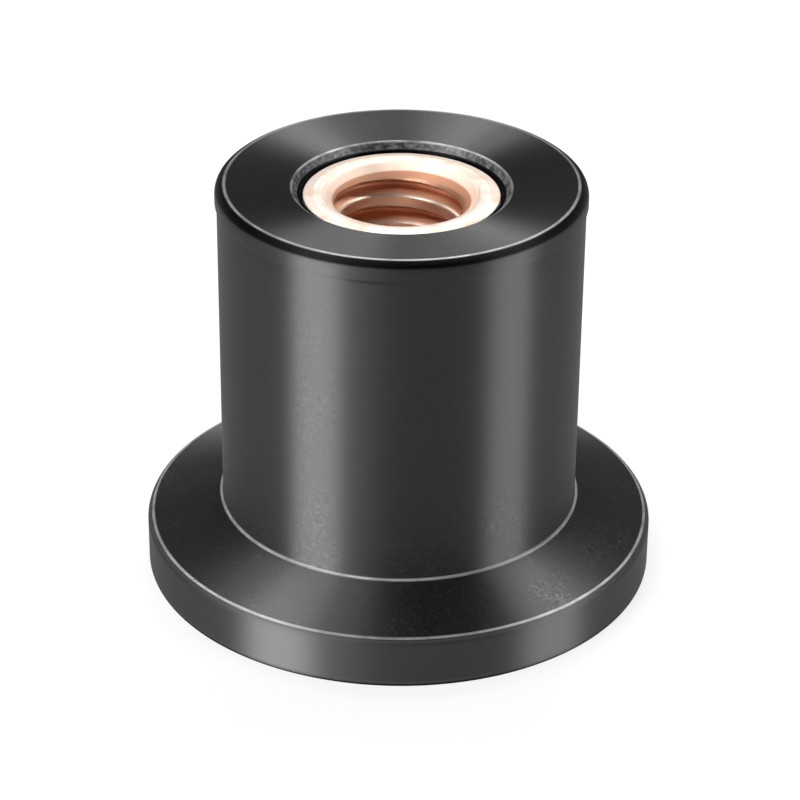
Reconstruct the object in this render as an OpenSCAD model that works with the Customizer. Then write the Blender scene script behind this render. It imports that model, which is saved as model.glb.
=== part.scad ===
// Well nut: a soft rubber sleeve with a sealing flange, moulded round a
// threaded brass insert at its far end. The screw comes in at the flange,
// draws the insert back, and the sleeve bulges behind the panel.
// Millimetres. +Z runs along the bore, and the origin is the centre of
// the flange's flat face.

/* [Sleeve] */
// Overall height, from the flange's flat face to the end lip
total_h = 18.3; // [15:0.1:26]
// Outside diameter of the sleeve, where it passes through the panel
sleeve_d = 15.88; // [14:0.02:20]
// How far the end lip stands proud of the sleeve
lip_proud = 0.08; // [0.04:0.02:0.4]
// Height of the end lip
lip_h = 0.84; // [0.5:0.02:1.6]
// Rounding of the lip's outer edge
lip_round = 0.46; // [0.1:0.02:0.5]

/* [Flange] */
// Diameter of the sealing flange
flange_d = 22.7; // [20:0.1:30]
// Height of the flange's rim
rim_h = 2.2; // [1:0.1:3]
// Rise of the sealing face from the rim to the sleeve
seal_rise = 1; // [0.2:0.1:2]
// Rounding of the rim's upper edge
rim_round = 0.35; // [0.1:0.05:0.8]
// Fillet where the sealing face meets the sleeve
foot_fillet = 0.18; // [0.06:0.02:0.6]

/* [Screw hole] */
// Play of the screw in the hole, on the diameter
screw_play = 0.45; // [0.2:0.05:0.9]
// Rounding of the hole's mouth in the flat face
mouth_round = 0.3; // [0.1:0.05:0.8]

/* [End face] */
// How far the end face dips from the lip to the recess
dish_depth = 0.24; // [0:0.02:0.6]
// Depth of the recess, from the dipped face to the insert's face
recess_depth = 0.29; // [0.1:0.01:0.8]
// Width of the recess round the insert, at its mouth
recess_w = 0.6; // [0.3:0.02:1.2]
// Width of the recess's floor round the insert
recess_floor_w = 0.24; // [0.16:0.02:0.3]
// Width of the gap that the moulding leaves round the insert's face
gap_w = 0.1; // [0.04:0.02:0.14]
// Depth of that gap
gap_depth = 0.3; // [0.15:0.05:0.6]

/* [Insert] */
// Diameter of the insert's face and barrel
insert_d = 8.5; // [8:0.1:9.6]
// Length of the insert
insert_l = 8; // [6.5:0.1:11]
// Major diameter of the thread, a quarter of an inch
thread_d = 6.35; // [5:0.05:6.6]
// Minor diameter of the thread, which is the plain bore here
minor_d = 5.2; // [4:0.05:5.6]
// Width of the bevel round the insert's face
face_bevel_w = 0.5; // [0.1:0.05:0.6]
// Drop of that bevel
face_bevel_drop = 0.08; // [0.02:0.02:0.14]
// Chamfer at the insert's inner end
end_chamfer = 0.3; // [0.1:0.05:0.6]

/* [Insert's hold in the rubber] */
// Length of the plain neck between the face and the collar
neck_l = 1.1; // [0.8:0.1:1.6]
// Diameter of the knurled collar
collar_d = 11.2; // [10.2:0.1:12.4]
// Thickness of the collar
collar_t = 1.6; // [1:0.1:2]
// Chamfer of the collar's two edges
collar_chamfer = 0.2; // [0.1:0.05:0.4]
// Number of knurl teeth round the collar
knurl_n = 30; // [16:1:40]
// Depth of the knurl
knurl_depth = 0.35; // [0.1:0.05:0.5]
// Number of grooves round the barrel
groove_n = 2; // [1:1:3]
// Radius of the grooves' round section
groove_r = 0.45; // [0.2:0.05:0.5]

/* [Hidden] */

$fn = 128;
// Steps in a rounded edge of a turned outline
arc_steps = 8;
// Extra length of a cutter past the face that it cuts
past = 1;

sleeve_r = sleeve_d / 2;
lip_r = sleeve_r + lip_proud;
flange_r = flange_d / 2;
hole_r = (thread_d + screw_play) / 2;
insert_r = insert_d / 2;
collar_r = collar_d / 2;

foot_h = rim_h + seal_rise;
dish_z = total_h - dish_depth;
face_z = dish_z - recess_depth;
insert_z = face_z - insert_l;
collar_z = face_z - neck_l - collar_t;
countersink_h = (thread_d - minor_d) / 2;

// Tilt of the sealing face, and the centres of the two arcs that touch it
seal_tilt = atan(seal_rise / (flange_r - sleeve_r));
arc_set_back = (1 - sin(seal_tilt)) / cos(seal_tilt);
rim_centre = [flange_r - rim_round, rim_h - rim_round * arc_set_back];
foot_centre = [sleeve_r + foot_fillet, foot_h + foot_fillet * arc_set_back];
lip_centre = [lip_r - lip_round, total_h - lip_round];
mouth_centre = [hole_r + mouth_round, mouth_round];

// Points along an arc, from one angle to the other
function arc(centre, r, from, to) =
    [for (i = [0:arc_steps])
        let (a = from + (to - from) * i / arc_steps)
        centre + r * [cos(a), sin(a)]];

// Half section of the sleeve, with the room for the insert still solid
sleeve_outline = concat(
    arc(mouth_centre, mouth_round, 180, 270),
    [[flange_r, 0]],
    arc(rim_centre, rim_round, 0, 90 - seal_tilt),
    arc(foot_centre, foot_fillet, 270 - seal_tilt, 180),
    [[sleeve_r, total_h - lip_h - lip_proud], [lip_r, total_h - lip_h]],
    arc(lip_centre, lip_round, 0, 90),
    [
        [insert_r + recess_w, dish_z],
        [insert_r + recess_floor_w, face_z],
        [insert_r + gap_w, face_z],
        [insert_r + gap_w, face_z - gap_depth],
        [hole_r, face_z - gap_depth]
    ]
);

// Half section of the insert before it is knurled, grooved and bored
insert_outline = [
    [0, insert_z],
    [insert_r - end_chamfer, insert_z],
    [insert_r, insert_z + end_chamfer],
    [insert_r, face_z - face_bevel_drop],
    [insert_r - face_bevel_w, face_z],
    [0, face_z]
];

// Half section of the collar, with both edges chamfered
collar_outline = [
    [0, 0],
    [collar_r - collar_chamfer, 0],
    [collar_r, collar_chamfer],
    [collar_r, collar_t - collar_chamfer],
    [collar_r - collar_chamfer, collar_t],
    [0, collar_t]
];

// Star with a knurl tooth at every other point
knurl_outline =
    [for (i = [0:2 * knurl_n - 1])
        let (a = 180 * i / knurl_n, r = i % 2 == 0 ? collar_r : collar_r - knurl_depth)
        r * [cos(a), sin(a)]];

module knurled_collar() {
    intersection() {
        rotate_extrude()
            polygon(collar_outline);
        linear_extrude(collar_t)
            polygon(knurl_outline);
    }
}

// Grooves spread evenly along the barrel, between its end and the collar
module barrel_grooves() {
    barrel_l = collar_z - insert_z;
    for (i = [1:groove_n])
        translate([0, 0, insert_z + barrel_l * i / (groove_n + 1)])
            rotate_extrude()
                translate([insert_r, 0])
                    circle(groove_r);
}

// Outside of the insert, which is also the room that it takes in the rubber
module insert_blank() {
    difference() {
        union() {
            rotate_extrude()
                polygon(insert_outline);
            translate([0, 0, collar_z])
                knurled_collar();
        }
        barrel_grooves();
    }
}

// Sleeve and flange, moulded in one piece of rubber
module rubber_sleeve() {
    color([0.13, 0.13, 0.14])
        difference() {
            rotate_extrude()
                polygon(sleeve_outline);
            insert_blank();
        }
}

// Turned brass insert, with a countersink at both ends of its bore
module brass_insert() {
    color([0.88, 0.64, 0.5])
        difference() {
            insert_blank();
            translate([0, 0, insert_z - past])
                cylinder(h = insert_l + 2 * past, d = minor_d);
            translate([0, 0, face_z - countersink_h])
                cylinder(h = countersink_h, d1 = minor_d, d2 = thread_d);
            translate([0, 0, insert_z])
                cylinder(h = countersink_h, d1 = thread_d, d2 = minor_d);
        }
}

rubber_sleeve();
brass_insert();
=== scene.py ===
import math

import bmesh
import bpy
from mathutils import Matrix, Vector


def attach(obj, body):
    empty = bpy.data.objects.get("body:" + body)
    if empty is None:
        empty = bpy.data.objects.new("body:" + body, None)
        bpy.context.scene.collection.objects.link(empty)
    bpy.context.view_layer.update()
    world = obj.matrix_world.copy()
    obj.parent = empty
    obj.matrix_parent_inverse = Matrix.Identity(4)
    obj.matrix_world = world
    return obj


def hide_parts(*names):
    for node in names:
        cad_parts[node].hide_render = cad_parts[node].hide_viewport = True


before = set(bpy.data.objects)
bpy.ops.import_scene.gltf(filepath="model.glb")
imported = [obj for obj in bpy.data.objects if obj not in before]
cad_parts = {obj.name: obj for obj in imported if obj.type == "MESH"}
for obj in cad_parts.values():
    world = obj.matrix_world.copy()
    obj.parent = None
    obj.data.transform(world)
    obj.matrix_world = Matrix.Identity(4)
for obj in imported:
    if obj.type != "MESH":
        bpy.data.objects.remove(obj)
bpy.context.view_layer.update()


# Brass insert. A short bush turned from pale brass bar and tapped right-handed,
# a quarter of an inch by 20 threads an inch. A knurled collar and two round
# grooves are what the rubber grips when it is moulded round it. Sizes are in
# millimetres, and a finished piece is scaled to metres.
MM = 0.001
QUARTER_STEPS = 60

INSERT_FACE = 17.77
INSERT_END = 9.77
INSERT_R = 4.25
END_CHAMFER = 0.3
FACE_BEVEL_W = 0.5
FACE_BEVEL_DROP = 0.08
FACE_EDGE_ROUND = 0.05

COLLAR_LOW = 15.07
COLLAR_HIGH = 16.67
COLLAR_R = 5.6
COLLAR_CHAMFER = 0.2
KNURL_TEETH = 30
KNURL_DEPTH = 0.35

GROOVE_R = 0.45
GROOVE_HEIGHTS = (11.537, 13.303)
# Just under the full radius, so that a groove's two quarter arcs don't meet
GROOVE_ROUND = 0.999 * GROOVE_R

PITCH = 1.27
MINOR_R = 2.6
MAJOR_R = 3.175
CREST_HALF_W = 0.224
FLANK_RISE = 0.332
CREST_ROUND = 0.07
ROOT_ROUND = 0.04
# Height of one crest on the X side, and how many crests are drawn below it
CREST_HEIGHT = 15.78
CRESTS_BELOW = 7
COUNTERSINK_R = 3.35
COUNTERSINK_ROUND = 0.3
FLAT_INNER_R = 3.62

# Spacing of the points along the thread, so that the countersinks cut it cleanly,
# and the length of the longest edge that is left whole
THREAD_SPACING = 0.08
THREAD_LONGEST = 1.5 * THREAD_SPACING
# Distance from a corner of the points that keep a flat face shaded flat, and the
# length of the longest edge that needs none
SUPPORT = 0.05
SUPPORT_LEAST = 4 * SUPPORT
MERGE = 0.001
# Angle in degrees above which an edge is shaded sharp
SHARP_ANGLE = 28


def draw_section(bm, corners, closed=False, steps=8):
    """Half section of a turned piece, from corners of radius, height and set-back."""
    points = [bm.verts.new((r, 0, z)) for r, z, rounding in corners]
    for a, b in zip(points, points[1:]):
        bm.edges.new((a, b))
    if closed:
        bm.edges.new((points[-1], points[0]))
    for point, (r, z, rounding) in zip(points, corners):
        if rounding:
            bmesh.ops.bevel(
                bm, geom=[point], offset=rounding, offset_type="OFFSET",
                segments=steps, profile=0.5, affect="VERTICES", material=-1)


def support_corners(bm):
    """Puts a point close to each end of the section's long straight stretches."""
    for edge in [e for e in bm.edges if e.is_wire and e.calc_length() > SUPPORT_LEAST]:
        first, last = edge.verts
        point = bmesh.utils.edge_split(edge, first, SUPPORT / edge.calc_length())[1]
        rest = [e for e in point.link_edges if e.other_vert(point) == last][0]
        bmesh.utils.edge_split(rest, last, SUPPORT / rest.calc_length())


def points_of(geometry):
    """The points among the geometry that an operator gives back."""
    return [item for item in geometry if isinstance(item, bmesh.types.BMVert)]


def turn(bm, lead=0.0):
    """Turns the section round the bore's axis by quarters, and raises it by the lead."""
    wire = [e for e in bm.edges if e.is_wire]
    points = list({v for e in wire for v in e.verts})
    others = set(bm.verts) - set(points)
    bmesh.ops.spin(
        bm, geom=points + wire, cent=(0, 0, 0), axis=(0, 0, 1),
        dvec=(0, 0, lead / (4 * QUARTER_STEPS)), angle=math.pi / 2, steps=QUARTER_STEPS,
        use_merge=False, use_duplicate=False)
    quarter = [f for f in bm.faces if not others.intersection(f.verts)]
    for turns in (1, 2, 3):
        points = points_of(bmesh.ops.duplicate(bm, geom=quarter)["geom"])
        bmesh.ops.rotate(
            bm, verts=points, cent=(0, 0, 0), matrix=Matrix.Rotation(turns * math.pi / 2, 3, "Z"))
        bmesh.ops.translate(bm, verts=points, vec=(0, 0, turns * lead / 4))
    bmesh.ops.remove_doubles(bm, verts=bm.verts[:], dist=MERGE)


def knurl(bm):
    """Brings what stands outside the star of teeth in to the star."""
    half_tooth = math.pi / KNURL_TEETH
    valley_r = COLLAR_R - KNURL_DEPTH
    tip = Vector((COLLAR_R, 0))
    valley = Vector((valley_r * math.cos(half_tooth), valley_r * math.sin(half_tooth)))
    side = valley - tip
    for v in bm.verts:
        radius = math.hypot(v.co.x, v.co.y)
        height = v.co.z
        if radius < valley_r or height < COLLAR_LOW - MERGE or height > COLLAR_HIGH + MERGE:
            continue
        angle = math.atan2(v.co.y, v.co.x) % (2 * half_tooth)
        angle = min(angle, 2 * half_tooth - angle)
        along = Vector((math.cos(angle), math.sin(angle)))
        star_r = tip.cross(side) / along.cross(side)
        if radius > star_r:
            v.co.x *= star_r / radius
            v.co.y *= star_r / radius


def close_end(bm, height):
    """Joins the bore to the turned outside across the flat at one end."""
    rims = [
        e for e in bm.edges
        if e.is_boundary and all(abs(v.co.z - height) < MERGE for v in e.verts)]
    bmesh.ops.triangle_fill(bm, edges=rims, use_beauty=True, use_dissolve=False, normal=(0, 0, 1))


def finish_piece(bm, name):
    """Makes the turned mesh a piece with its faces outwards and its corners crisp."""
    bmesh.ops.recalc_face_normals(bm, faces=bm.faces[:])
    bmesh.ops.scale(bm, vec=(MM, MM, MM), verts=bm.verts[:])
    for face in bm.faces:
        face.smooth = True
    for edge in bm.edges:
        edge.smooth = edge.calc_face_angle(0) < math.radians(SHARP_ANGLE)
    mesh = bpy.data.meshes.new(name)
    bm.to_mesh(mesh)
    bm.free()
    piece = bpy.data.objects.new(name, mesh)
    bpy.context.scene.collection.objects.link(piece)
    return piece


insert_outside = [(INSERT_R - END_CHAMFER, INSERT_END, 0), (INSERT_R, INSERT_END + END_CHAMFER, 0)]
for groove in GROOVE_HEIGHTS:
    insert_outside += [
        (INSERT_R, groove - GROOVE_R, 0),
        (INSERT_R - GROOVE_R, groove - GROOVE_R, GROOVE_ROUND),
        (INSERT_R - GROOVE_R, groove + GROOVE_R, GROOVE_ROUND),
        (INSERT_R, groove + GROOVE_R, 0)]
insert_outside += [
    (INSERT_R, COLLAR_LOW, 0),
    (COLLAR_R - COLLAR_CHAMFER, COLLAR_LOW, 0),
    (COLLAR_R, COLLAR_LOW + COLLAR_CHAMFER, 0),
    (COLLAR_R, COLLAR_HIGH - COLLAR_CHAMFER, 0),
    (COLLAR_R - COLLAR_CHAMFER, COLLAR_HIGH, 0),
    (INSERT_R, COLLAR_HIGH, 0)]

# Thread: the section of the teeth, longer than the bore, wound up one pitch a turn
insert_bm = bmesh.new()
thread_section = []
crest = CREST_HEIGHT - CRESTS_BELOW * PITCH
while crest < INSERT_FACE + PITCH:
    thread_section += [
        (MINOR_R, crest - CREST_HALF_W, CREST_ROUND),
        (MINOR_R, crest + CREST_HALF_W, CREST_ROUND),
        (MAJOR_R, crest + CREST_HALF_W + FLANK_RISE, ROOT_ROUND),
        (MAJOR_R, crest + PITCH - CREST_HALF_W - FLANK_RISE, ROOT_ROUND)]
    crest += PITCH
draw_section(insert_bm, thread_section, steps=3)
for edge in [e for e in insert_bm.edges if e.calc_length() > THREAD_LONGEST]:
    pieces = math.ceil(edge.calc_length() / THREAD_SPACING)
    bmesh.ops.subdivide_edges(insert_bm, edges=[edge], cuts=pieces - 1)
turn(insert_bm, lead=PITCH)
for height, outwards in ((INSERT_FACE, 1), (INSERT_END, -1)):
    bmesh.ops.bisect_plane(
        insert_bm, geom=insert_bm.verts[:] + insert_bm.edges[:] + insert_bm.faces[:],
        dist=MERGE, plane_co=(0, 0, height), plane_no=(0, 0, outwards),
        clear_outer=True, clear_inner=False)

# Countersinks at both ends take the crests back to a cone of 45 degrees, whose
# mouth is rounded over
mouth_r = COUNTERSINK_R + COUNTERSINK_ROUND * math.tan(math.pi / 8)
mouth_depth = COUNTERSINK_ROUND * (1 - math.cos(math.pi / 4))
for v in insert_bm.verts:
    depth = max(0, min(INSERT_FACE - v.co.z, v.co.z - INSERT_END))
    cone_r = COUNTERSINK_R - depth
    if depth < mouth_depth:
        cone_r = mouth_r - math.sqrt(COUNTERSINK_ROUND ** 2 - (COUNTERSINK_ROUND - depth) ** 2)
    radius = math.hypot(v.co.x, v.co.y)
    if radius < cone_r:
        v.co.x *= cone_r / radius
        v.co.y *= cone_r / radius

draw_section(insert_bm, [(FLAT_INNER_R, INSERT_END, 0)] + insert_outside + [
    (INSERT_R, INSERT_FACE - FACE_BEVEL_DROP, FACE_EDGE_ROUND),
    (INSERT_R - FACE_BEVEL_W, INSERT_FACE, FACE_EDGE_ROUND),
    (FLAT_INNER_R, INSERT_FACE, 0)], steps=4)
support_corners(insert_bm)
turn(insert_bm)
knurl(insert_bm)
close_end(insert_bm, INSERT_FACE)
close_end(insert_bm, INSERT_END)
insert = finish_piece(insert_bm, "threaded_insert")


def new_material(name):
    """A material with only its Principled shader, and the tools to add nodes to it."""
    material = bpy.data.materials.new(name)
    material.use_nodes = True
    return material, material.node_tree, material.node_tree.nodes["Principled BSDF"]


def add_node(tree, kind, inputs=(), **settings):
    """Adds a node, sets it up, and feeds its inputs with values or with other outputs."""
    node = tree.nodes.new(kind)
    for name, value in settings.items():
        setattr(node, name, value)
    for socket, value in dict(inputs).items():
        if isinstance(value, bpy.types.NodeSocket):
            tree.links.new(value, node.inputs[socket])
        else:
            node.inputs[socket].default_value = value
    return node


def maths(tree, operation, first, second=0.0, third=0.0, clamp=False):
    """One step of arithmetic on values that change over the surface."""
    node = add_node(
        tree, "ShaderNodeMath", {0: first, 1: second, 2: third},
        operation=operation, use_clamp=clamp)
    return node.outputs[0]


def noise(tree, place, scale, detail):
    """Soft random values over the surface."""
    node = add_node(
        tree, "ShaderNodeTexNoise", {"Vector": place, "Scale": scale, "Detail": detail})
    return node.outputs[0]


def ramp(tree, value, low, high, start=0.0, end=1.0):
    """Soft step of a value from start to end between two limits."""
    node = add_node(
        tree, "ShaderNodeMapRange",
        {"Value": value, "From Min": low, "From Max": high, "To Min": start, "To Max": end},
        interpolation_type="SMOOTHSTEP")
    return node.outputs[0]


def fade(tree, length, limits, start=0.0, end=1.0):
    """The same step over a length, between two limits in millimetres."""
    low, high = limits
    return ramp(tree, length, low * MM, high * MM, start, end)


def zone(tree, length, limits, other, other_limits):
    """Mask where both lengths have passed from their first limit to their second."""
    return maths(
        tree, "MULTIPLY", fade(tree, length, limits), fade(tree, other, other_limits))


def blend(tree, mask, below, above):
    """One colour laid over another where the mask says."""
    node = add_node(tree, "ShaderNodeMix", {0: mask, 6: below, 7: above}, data_type="RGBA")
    return node.outputs[2]


def radius_of(tree, place):
    """Distance from the bore's axis, and height."""
    axes = add_node(tree, "ShaderNodeSeparateXYZ", {0: place})
    radius = maths(
        tree, "SQRT", maths(
            tree, "ADD",
            maths(tree, "MULTIPLY", axes.outputs["X"], axes.outputs["X"]),
            maths(tree, "MULTIPLY", axes.outputs["Y"], axes.outputs["Y"])))
    return radius, axes.outputs["Z"]


def new_effect(name, inputs, output):
    """A shared effect, as a node group that puts out a value."""
    group = bpy.data.node_groups.new(name, "ShaderNodeTree")
    group.interface.new_socket("Vector", in_out="INPUT", socket_type="NodeSocketVector")
    for socket_name in inputs:
        group.interface.new_socket(socket_name, in_out="INPUT", socket_type="NodeSocketFloat")
    group.interface.new_socket(output, in_out="OUTPUT", socket_type="NodeSocketFloat")
    return group, group.nodes.new("NodeGroupInput"), group.nodes.new("NodeGroupOutput")


def place_effect(tree, effect, place, **values):
    """Puts a shared effect in a material with its own values."""
    node = add_node(tree, "ShaderNodeGroup", node_tree=effect)
    tree.links.new(place, node.inputs["Vector"])
    for name, value in values.items():
        node.inputs[name].default_value = value
    return node.outputs[0]


# Shared effect: fine rings that a lathe leaves on what it turns, and that the
# turned mould prints on the rubber
rings, rings_in, rings_out = new_effect("turning rings", ["rings_per_metre"], "Height")
ring_radius, ring_z = radius_of(rings, rings_in.outputs["Vector"])
ring_noise = add_node(
    rings, "ShaderNodeTexNoise",
    {"W": maths(
        rings, "MULTIPLY", maths(rings, "ADD", ring_radius, ring_z),
        rings_in.outputs["rings_per_metre"]),
     "Scale": 1.0, "Detail": 2.0},
    noise_dimensions="1D")
rings.links.new(ring_noise.outputs[0], rings_out.inputs["Height"])

# Shared effect: a line along a turned edge, which comes and goes a little. It sets
# where an edge is rubbed glossy and where a highlight line is painted
LINE_SCALE = 900.0
LINE_DETAIL = 3.0
LINE_THIN = (0.4, 0.65)
# Share of the line's half width that is at full strength
LINE_CORE = 0.45
edge_line, edge_line_in, edge_line_out = new_effect("edge line", ["radius", "height", "width", "gaps"], "Mask")
line_radius, line_z = radius_of(edge_line, edge_line_in.outputs["Vector"])
line_across = maths(edge_line, "SUBTRACT", line_radius, edge_line_in.outputs["radius"])
line_along = maths(edge_line, "SUBTRACT", line_z, edge_line_in.outputs["height"])
line_distance = maths(
    edge_line, "DIVIDE", maths(
        edge_line, "SQRT", maths(
            edge_line, "ADD",
            maths(edge_line, "MULTIPLY", line_across, line_across),
            maths(edge_line, "MULTIPLY", line_along, line_along))),
    edge_line_in.outputs["width"])
line_noise = noise(edge_line, edge_line_in.outputs["Vector"], LINE_SCALE, LINE_DETAIL)
line_left = maths(
    edge_line, "SUBTRACT", 1.0,
    maths(edge_line, "MULTIPLY", ramp(edge_line, line_noise, *LINE_THIN), edge_line_in.outputs["gaps"]))
edge_line.links.new(
    maths(edge_line, "MULTIPLY", ramp(edge_line, line_distance, LINE_CORE, 1.0, 1.0, 0.0), line_left),
    edge_line_out.inputs["Mask"])

# Shared effect: small specks of dust, pits and scuffs, which gather in patches
SPECK_DETAIL = 2.0
SPECK_PATCH_SCALE = 450.0
SPECK_PATCH_DETAIL = 3.0
SPECK_PATCH_SHARE = 0.5
SPECK_LIMIT = 0.78
SPECK_SHARPNESS = 12.0
specks, specks_in, specks_out = new_effect("specks", ["scale", "share"], "Mask")
speck_noise = noise(
    specks, specks_in.outputs["Vector"], specks_in.outputs["scale"], SPECK_DETAIL)
speck_patches = noise(
    specks, specks_in.outputs["Vector"], SPECK_PATCH_SCALE, SPECK_PATCH_DETAIL)
speck_limit = maths(specks, "SUBTRACT", SPECK_LIMIT, maths(
    specks, "MULTIPLY", maths(specks, "MULTIPLY", speck_patches, SPECK_PATCH_SHARE),
    specks_in.outputs["share"]))
specks.links.new(
    maths(specks, "MULTIPLY",
          maths(specks, "SUBTRACT", speck_noise, speck_limit), SPECK_SHARPNESS, clamp=True),
    specks_out.inputs["Mask"])

# Colours of the brass: its face and smudges, and painted light in the bore: a
# painted highlight on the thread's crests and the countersink, and painted shade in
# the grooves, darkest just under the mouth
BRASS_PALE = (0.60, 0.52, 0.465, 1)
BRASS_DULL = (0.56, 0.42, 0.34, 1)
BRASS_PAINTED_HIGHLIGHT = (0.97, 0.77, 0.65, 1)
BRASS_GROOVE_SHADE = (0.78, 0.44, 0.29, 1)
BRASS_MOUTH_SHADE = (0.58, 0.31, 0.20, 1)
BRASS_CLOUD_SCALE = 900.0
BRASS_CLOUD_DETAIL = 4.0
BRASS_SMUDGES = (0.45, 0.75)
BRASS_CLOUD_SPREAD = (0.3, 0.7)
BRASS_ROUGHNESS = (0.54, 0.66)
CREST_ROUGHNESS = 0.42
FACE_RING_W = 0.09
FACE_RING_GAPS = 0.9
FACE_HIGHLIGHT_SHARE = 0.6
TOOL_RINGS = 16000.0
TOOL_RING_DEPTH = 0.02
TOOL_RING_STRENGTH = 0.3
# Radii and heights between which one colour gives way to the next
NEAR_AXIS = (3.50, 3.40)
CREST_TO_GROOVE = (MINOR_R + 0.06, MINOR_R + 0.22)
CREST_SHINE_END = (MINOR_R + 0.1, MINOR_R + 0.3)
COUNTERSINK_START = (INSERT_FACE - 0.02, INSERT_FACE - 0.08)
BORE_START = (INSERT_FACE - 0.32, INSERT_FACE - 0.40)
GROOVE_TO_MOUTH_SHADE = (INSERT_FACE - 1.05, INSERT_FACE - 0.85)

brass, brass_tree, brass_shader = new_material("turned brass")
brass_place = add_node(brass_tree, "ShaderNodeTexCoord").outputs["Object"]
brass_radius, brass_z = radius_of(brass_tree, brass_place)
brass_clouds = noise(brass_tree, brass_place, BRASS_CLOUD_SCALE, BRASS_CLOUD_DETAIL)
# Painted highlight: a pale line along the inner edge of the face's bevel
face_edge_highlight = place_effect(
    brass_tree, edge_line, brass_place, radius=(INSERT_R - FACE_BEVEL_W) * MM,
    height=INSERT_FACE * MM, width=FACE_RING_W * MM, gaps=FACE_RING_GAPS)
face_colour = blend(
    brass_tree, ramp(brass_tree, brass_clouds, *BRASS_SMUDGES), BRASS_PALE, BRASS_DULL)
face_colour = blend(
    brass_tree, maths(brass_tree, "MULTIPLY", face_edge_highlight, FACE_HIGHLIGHT_SHARE), face_colour, BRASS_PAINTED_HIGHLIGHT)

# The countersink and the thread's crests are painted pale as a highlight, and the
# grooves are painted darker as shade, darkest just under the mouth
countersink = zone(brass_tree, brass_radius, NEAR_AXIS, brass_z, COUNTERSINK_START)
in_bore = zone(brass_tree, brass_radius, NEAR_AXIS, brass_z, BORE_START)
bore_painted_light = blend(
    brass_tree, fade(brass_tree, brass_radius, CREST_TO_GROOVE), BRASS_PAINTED_HIGHLIGHT, BRASS_GROOVE_SHADE)
bore_painted_light = blend(
    brass_tree, fade(brass_tree, brass_z, GROOVE_TO_MOUTH_SHADE), bore_painted_light, BRASS_MOUTH_SHADE)
brass_colour = blend(brass_tree, countersink, face_colour, BRASS_PAINTED_HIGHLIGHT)
brass_colour = blend(brass_tree, in_bore, brass_colour, bore_painted_light)
brass_tree.links.new(brass_colour, brass_shader.inputs["Base Color"])
brass_shader.inputs["Metallic"].default_value = 1.0
brass_tree.links.new(
    maths(
        brass_tree, "MINIMUM",
        ramp(brass_tree, brass_clouds, *BRASS_CLOUD_SPREAD, *BRASS_ROUGHNESS),
        fade(brass_tree, brass_radius, CREST_SHINE_END, CREST_ROUGHNESS, 1.0)),
    brass_shader.inputs["Roughness"])
brass_bump = add_node(
    brass_tree, "ShaderNodeBump",
    {"Strength": TOOL_RING_STRENGTH, "Distance": TOOL_RING_DEPTH * MM,
     "Height": place_effect(brass_tree, rings, brass_place, rings_per_metre=TOOL_RINGS)})
brass_tree.links.new(brass_bump.outputs[0], brass_shader.inputs["Normal"])

insert.data.materials.append(brass)
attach(insert, "root")
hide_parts("brass_insert")


# Rubber sleeve. Sleeve, sealing flange and end lip are one piece of black rubber,
# moulded round the insert in a turned mould. The flange stands on its flat face,
# and the screw passes up through the plain hole inside it.
HOLE_R = 3.4
MOUTH_ROUND = 0.3
FLANGE_R = 11.35
FLANGE_EDGE_ROUND = 0.04
RIM_HEIGHT = 2.2
RIM_SET_BACK = 0.262
FOOT_HEIGHT = 3.2
FOOT_SET_BACK = 0.135
SLEEVE_R = 7.94
LIP_R = 8.02
LIP_STEP_LOW = 17.38
LIP_STEP_HIGH = 17.46
TOP = 18.3
LIP_ROUND = 0.46
LIP_FLAT_W = 0.02
DISH_LOW = 18.06
RECESS_R = 4.72
RECESS_ROUND = 0.09
RECESS_FLOOR_R = 4.49
GAP_R = 4.35
GAP_FLOOR = 17.47
SMALL_ROUND = 0.03

sleeve_bm = bmesh.new()
draw_section(sleeve_bm, [
    (HOLE_R, 0, MOUTH_ROUND),
    (FLANGE_R, 0, FLANGE_EDGE_ROUND),
    (FLANGE_R, RIM_HEIGHT, RIM_SET_BACK),
    (SLEEVE_R, FOOT_HEIGHT, FOOT_SET_BACK),
    (SLEEVE_R, LIP_STEP_LOW, SMALL_ROUND),
    (LIP_R, LIP_STEP_HIGH, SMALL_ROUND),
    (LIP_R, TOP, LIP_ROUND),
    (LIP_R - LIP_ROUND - LIP_FLAT_W, TOP, 0),
    (RECESS_R, DISH_LOW, RECESS_ROUND),
    (RECESS_FLOOR_R, INSERT_FACE, SMALL_ROUND),
    (GAP_R, INSERT_FACE, SMALL_ROUND),
    (GAP_R, GAP_FLOOR, 0),
    (INSERT_R, GAP_FLOOR, 0),
] + insert_outside[::-1] + [(HOLE_R, INSERT_END, 0)], closed=True)
support_corners(sleeve_bm)
turn(sleeve_bm)
knurl(sleeve_bm)
sleeve = finish_piece(sleeve_bm, "moulded_sleeve")

RUBBER_BLACK = (0.002, 0.002, 0.0022, 1)
RUBBER_BLOOM = (0.005, 0.005, 0.0054, 1)
RUBBER_SCUFF = (0.022, 0.022, 0.022, 1)
# Paler colour of the painted highlight lines along the edges
RUBBER_EDGE_HIGHLIGHT = (0.20, 0.20, 0.20, 1)
RUBBER_WALL = (0.085, 0.085, 0.09, 1)
RIM_SHINE = (0.085, 0.085, 0.085, 1)
BLOOM_SCALE = 1500.0
BLOOM_DETAIL = 5.0

rubber, rubber_tree, rubber_shader = new_material("black rubber")
rubber_place = add_node(rubber_tree, "ShaderNodeTexCoord").outputs["Object"]
rubber_radius, rubber_z = radius_of(rubber_tree, rubber_place)
rubber_colour = blend(
    rubber_tree, noise(rubber_tree, rubber_place, BLOOM_SCALE, BLOOM_DETAIL),
    RUBBER_BLACK, RUBBER_BLOOM)

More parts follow.
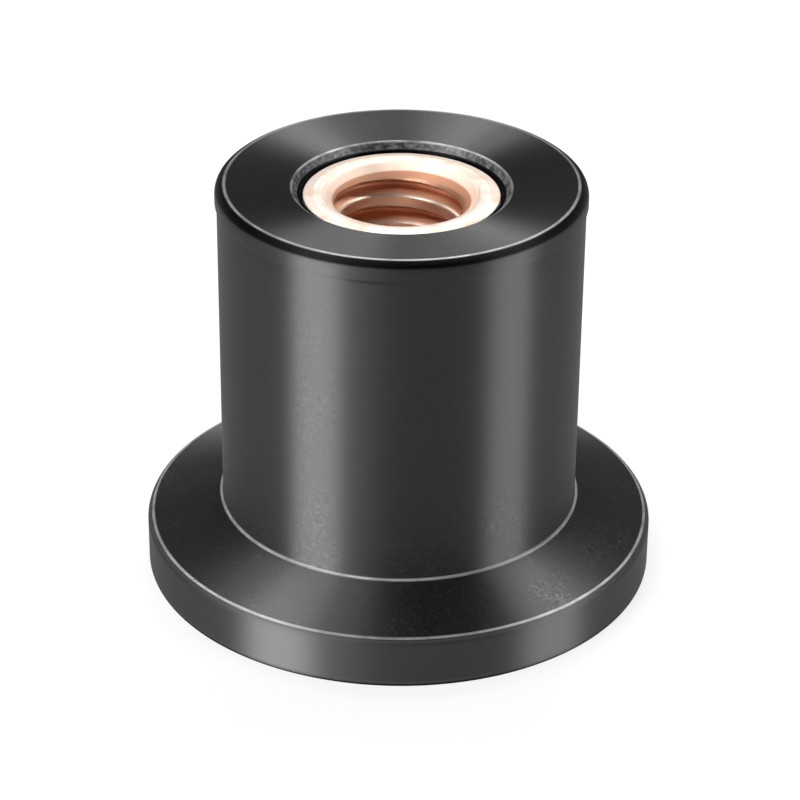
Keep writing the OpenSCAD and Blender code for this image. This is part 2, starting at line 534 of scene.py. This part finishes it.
# Specks, most of them on the flange's slope and near the foot of the sleeve
SPECK_SCALE = 8000.0
SPECK_SHARE = 0.6
SPECKS_THIN_OUT = (2.4, 6.0)
SPECKS_HIGH_UP = 0.15
rubber_specks = maths(
    rubber_tree, "MULTIPLY",
    place_effect(rubber_tree, specks, rubber_place, scale=SPECK_SCALE, share=SPECK_SHARE),
    fade(rubber_tree, rubber_z, SPECKS_THIN_OUT, 1.0, SPECKS_HIGH_UP))
rubber_colour = blend(rubber_tree, rubber_specks, rubber_colour, RUBBER_SCUFF)

# The recess's wall is grey and mottled, as it comes from the rough end of the mould
WALL_RADII = (4.71, 4.66)
WALL_HEIGHTS = (17.7, 17.75)
MOTTLE_SCALE = 5000.0
MOTTLE_DETAIL = 3.0
MOTTLE_SPREAD = (0.40, 0.62)
MOTTLE_LEAST = 0.1
wall_mottle = ramp(
    rubber_tree, noise(rubber_tree, rubber_place, MOTTLE_SCALE, MOTTLE_DETAIL),
    *MOTTLE_SPREAD, MOTTLE_LEAST, 1.0)
rubber_colour = blend(
    rubber_tree, maths(
        rubber_tree, "MULTIPLY", wall_mottle,
        zone(rubber_tree, rubber_radius, WALL_RADII, rubber_z, WALL_HEIGHTS)),
    rubber_colour, RUBBER_WALL)

# Edges rubbed smooth: the lip's inner line, the rim, the foot's crease and the
# recess's mouth. They are much glossier than the rest, and a paler colour paints
# a highlight line along them.
# Radius, height, half width, how far the line thins out, and strength of the
# painted highlight of each
GLOSSY_HIGHLIT_EDGES = (
    (7.605, TOP - 0.005, 0.085, 0.4, 0.3),
    (11.11, RIM_HEIGHT + 0.07, 0.09, 0.35, 0.65),
    (8.03, FOOT_HEIGHT + 0.01, 0.09, 0.35, 0.65),
    (RECESS_R, DISH_LOW - 0.01, 0.08, 0.6, 0.4))
smooth_edges = 0.0
painted_edge_highlights = 0.0
for edge_r, edge_z, edge_w, edge_gaps, edge_highlight_strength in GLOSSY_HIGHLIT_EDGES:
    line = place_effect(
        rubber_tree, edge_line, rubber_place, radius=edge_r * MM, height=edge_z * MM,
        width=edge_w * MM, gaps=edge_gaps)
    smooth_edges = maths(rubber_tree, "ADD", line, smooth_edges, clamp=True)
    painted_edge_highlights = maths(
        rubber_tree, "MULTIPLY_ADD", line, edge_highlight_strength, painted_edge_highlights, clamp=True)
# Painted highlight: the edges are coloured paler along their lines
rubber_colour = blend(rubber_tree, painted_edge_highlights, rubber_colour, RUBBER_EDGE_HIGHLIGHT)
rubber_tree.links.new(smooth_edges, rubber_shader.inputs["Coat Weight"])

# Painted shade: some places are made black, with no shine at all, so that they show
# dark: the lip's rounding, the rim's lower edge and the gap round the insert, given by
# radii and heights, and in part the step under the lip
SHADE_WITHOUT_SHINE = (
    ((7.66, 7.74), (17.98, 18.10)),
    ((11.30, 11.32), (0.14, 0.05)),
    ((4.50, 4.46), (17.0, 17.1)))
STEP_LOW = (17.34, 17.37)
STEP_HIGH = (17.50, 17.47)
STEP_SHADE = 0.18
shade_without_shine = maths(
    rubber_tree, "MULTIPLY", STEP_SHADE,
    zone(rubber_tree, rubber_z, STEP_LOW, rubber_z, STEP_HIGH))
for radii, heights in SHADE_WITHOUT_SHINE:
    shade_without_shine = maths(
        rubber_tree, "ADD", shade_without_shine,
        zone(rubber_tree, rubber_radius, radii, rubber_z, heights), clamp=True)
# Painted shade: these places take the plain black colour
rubber_colour = blend(rubber_tree, shade_without_shine, rubber_colour, RUBBER_BLACK)

# The rim's wall shines more than the rest, as that part of the mould is polished.
# A metallic share sets how much a dark colour shines: none if black, more if grey.
RIM_WALL_RADII = (11.18, 11.30)
RIM_WALL_HEIGHTS = (0.12, 0.24)
SHINE_SHARE = 0.92
rim_wall = zone(rubber_tree, rubber_radius, RIM_WALL_RADII, rubber_z, RIM_WALL_HEIGHTS)
rubber_colour = blend(rubber_tree, rim_wall, rubber_colour, RIM_SHINE)
rubber_tree.links.new(
    maths(rubber_tree, "MULTIPLY", maths(rubber_tree, "MAXIMUM", shade_without_shine, rim_wall), SHINE_SHARE),
    rubber_shader.inputs["Metallic"])
rubber_tree.links.new(rubber_colour, rubber_shader.inputs["Base Color"])

# Grain of the mould, in rings and in fine pits, which breaks up the shine
MOULD_RINGS = 9000.0
PIT_SCALE = 6000.0
PIT_DETAIL = 3.0
GRAIN_STRENGTH = 0.5
GRAIN_DEPTH = 0.002
rubber_bump = add_node(
    rubber_tree, "ShaderNodeBump",
    {"Strength": GRAIN_STRENGTH, "Distance": GRAIN_DEPTH * MM,
     "Height": maths(
         rubber_tree, "ADD",
         place_effect(rubber_tree, rings, rubber_place, rings_per_metre=MOULD_RINGS),
         noise(rubber_tree, rubber_place, PIT_SCALE, PIT_DETAIL))})
rubber_tree.links.new(rubber_bump.outputs[0], rubber_shader.inputs["Normal"])

# Roughness varies in a fine mottle, in patches, most of all near the flange
RUBBER_ROUGHNESS = 0.55
PATCH_SCALE = 350.0
PATCH_DETAIL = 4.0
PATCH_SPREAD = (0.40, 0.65)
PATCH_DEPTHS = (0.12, 0.64)
PATCHES_THIN_OUT = (3.0, 8.0)
PATCHES_HIGH_UP = 0.35
MOTTLED_SHINE_SCALE = 6500.0
MOTTLED_SHINE_DETAIL = 1.0
shine_depth = maths(
    rubber_tree, "MULTIPLY",
    ramp(rubber_tree, noise(rubber_tree, rubber_place, PATCH_SCALE, PATCH_DETAIL),
         *PATCH_SPREAD, *PATCH_DEPTHS),
    fade(rubber_tree, rubber_z, PATCHES_THIN_OUT, 1.0, PATCHES_HIGH_UP))
shine_depth = maths(
    rubber_tree, "MULTIPLY", shine_depth, maths(rubber_tree, "SUBTRACT", 1.0, rim_wall))
shine_mottle = maths(
    rubber_tree, "SUBTRACT",
    noise(rubber_tree, rubber_place, MOTTLED_SHINE_SCALE, MOTTLED_SHINE_DETAIL), 0.5)
rubber_tree.links.new(
    maths(rubber_tree, "MULTIPLY_ADD", shine_depth, shine_mottle, RUBBER_ROUGHNESS),
    rubber_shader.inputs["Roughness"])

# The mould's rings stretch highlights across them, into streaks down the walls
for socket, value in (
        ("Coat Roughness", 0.42),
        ("Coat IOR", 2.1),
        ("Specular IOR Level", 0.85),
        ("Anisotropic", 1.0),
        ("Anisotropic Rotation", 0.25)):
    rubber_shader.inputs[socket].default_value = value
rubber_tangent = add_node(rubber_tree, "ShaderNodeTangent", direction_type="RADIAL", axis="Z")
rubber_tree.links.new(rubber_tangent.outputs[0], rubber_shader.inputs["Tangent"])

sleeve.data.materials.append(rubber)
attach(sleeve, "root")
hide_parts("rubber_sleeve")


# Studio. A plain white floor with a low white wall far round it, two soft lamps
# low down, one on each side, a small one high in front, two long ones high up
# behind the part, and a dim even world.
FLOOR_SIZE = 12000.0
WALL_R = 1500.0
WALL_HEIGHT = 160.0
WALL_SIDES = 96
FLOOR_COLOUR = (0.86, 0.86, 0.86, 1)
# Share of plain white in the floor near the part, where it must show the shadow,
# and the distances between which that share rises to the whole
FLOOR_GLOW = 0.75
GLOW_RISE = (60.0, 160.0)
WHITE = (1, 1, 1, 1)
WORLD_LEVEL = 0.075

floor_bm = bmesh.new()
bmesh.ops.create_grid(floor_bm, x_segments=1, y_segments=1, size=FLOOR_SIZE / 2)
floor = finish_piece(floor_bm, "floor")
wall_bm = bmesh.new()
bmesh.ops.create_circle(wall_bm, cap_ends=False, segments=WALL_SIDES, radius=WALL_R)
wall_top = bmesh.ops.extrude_edge_only(wall_bm, edges=wall_bm.edges[:])["geom"]
bmesh.ops.translate(wall_bm, verts=points_of(wall_top), vec=(0, 0, WALL_HEIGHT))
backdrop = finish_piece(wall_bm, "backdrop")

floor_material, floor_tree, floor_shader = new_material("white floor")
floor_shader.inputs["Base Color"].default_value = FLOOR_COLOUR
floor_shader.inputs["Roughness"].default_value = 1.0
floor_shader.inputs["Specular IOR Level"].default_value = 0.0
floor_rays = add_node(floor_tree, "ShaderNodeLightPath")
floor_seen = maths(
    floor_tree, "MAXIMUM", floor_rays.outputs["Is Camera Ray"],
    maths(floor_tree, "MAXIMUM", floor_rays.outputs["Is Glossy Ray"],
          floor_rays.outputs["Is Transmission Ray"]))
floor_glow = add_node(floor_tree, "ShaderNodeEmission", {"Color": WHITE, "Strength": 1.0})
floor_place = add_node(floor_tree, "ShaderNodeTexCoord").outputs["Object"]
floor_level = fade(
    floor_tree, radius_of(floor_tree, floor_place)[0], GLOW_RISE, FLOOR_GLOW, 1.0)
floor_mix = add_node(
    floor_tree, "ShaderNodeMixShader",
    {0: maths(floor_tree, "MULTIPLY", floor_seen, floor_level),
     1: floor_shader.outputs[0], 2: floor_glow.outputs[0]})
floor_tree.links.new(
    floor_mix.outputs[0], floor_tree.nodes["Material Output"].inputs["Surface"])
for staging in (floor, backdrop):
    staging.data.materials.append(floor_material)

# Lamps: name, direction round the part and up from the floor in degrees, width and
# height in metres, and level
LAMP_DISTANCE = 0.35
LAMP_AIM = Vector((0, 0, 0.01))
LAMPS = (
    ("left lamp", -140.0, 7.0, 0.18, 0.08, 50.0),
    ("right lamp", -23.0, 7.0, 0.17, 0.08, 24.0),
    ("front lamp", -130.0, 62.0, 0.10, 0.10, 12.0),
    ("high left lamp", 115.0, 58.0, 0.29, 0.06, 15.5),
    ("high right lamp", 58.0, 53.0, 0.22, 0.06, 16.5))
for name, azimuth, elevation, width, height, level in LAMPS:
    lamp = bpy.data.lights.new(name, "AREA")
    lamp.shape = "RECTANGLE"
    lamp.size = width
    lamp.size_y = height
    lamp.energy = level * math.pi * width * height
    lamp_object = bpy.data.objects.new(name, lamp)
    bpy.context.scene.collection.objects.link(lamp_object)
    a = math.radians(azimuth)
    e = math.radians(elevation)
    away = Vector((math.cos(a) * math.cos(e), math.sin(a) * math.cos(e), math.sin(e)))
    lamp_object.location = LAMP_AIM + away * LAMP_DISTANCE
    lamp_object.rotation_euler = away.to_track_quat("Z", "Y").to_euler()
    lamp_object.visible_camera = False

world = bpy.data.worlds.new("pale studio")
bpy.context.scene.world = world
world.use_nodes = True
world.node_tree.nodes["Background"].inputs["Color"].default_value = WHITE
world.node_tree.nodes["Background"].inputs["Strength"].default_value = WORLD_LEVEL

# Camera: it looks down on the part, and leans a little to one side as in the photo
CAMERA_PLACE = (0, -0.11265, 0.07025)
CAMERA_DROP = 29.09
CAMERA_ROLL = 0.56
camera_data = bpy.data.cameras.new("camera")
camera_data.lens = 130.25
camera_data.sensor_width = 36.0
camera_data.clip_start = 0.01
camera_data.clip_end = 20.0
camera_data.shift_x = 0.0004
camera = bpy.data.objects.new("camera", camera_data)
bpy.context.scene.collection.objects.link(camera)
camera.matrix_world = (
    Matrix.Translation(CAMERA_PLACE)
    @ Matrix.Rotation(math.radians(90 - CAMERA_DROP), 4, "X")
    @ Matrix.Rotation(math.radians(CAMERA_ROLL), 4, "Z"))
bpy.context.scene.camera = camera
bpy.context.scene.view_settings.view_transform = "Standard"
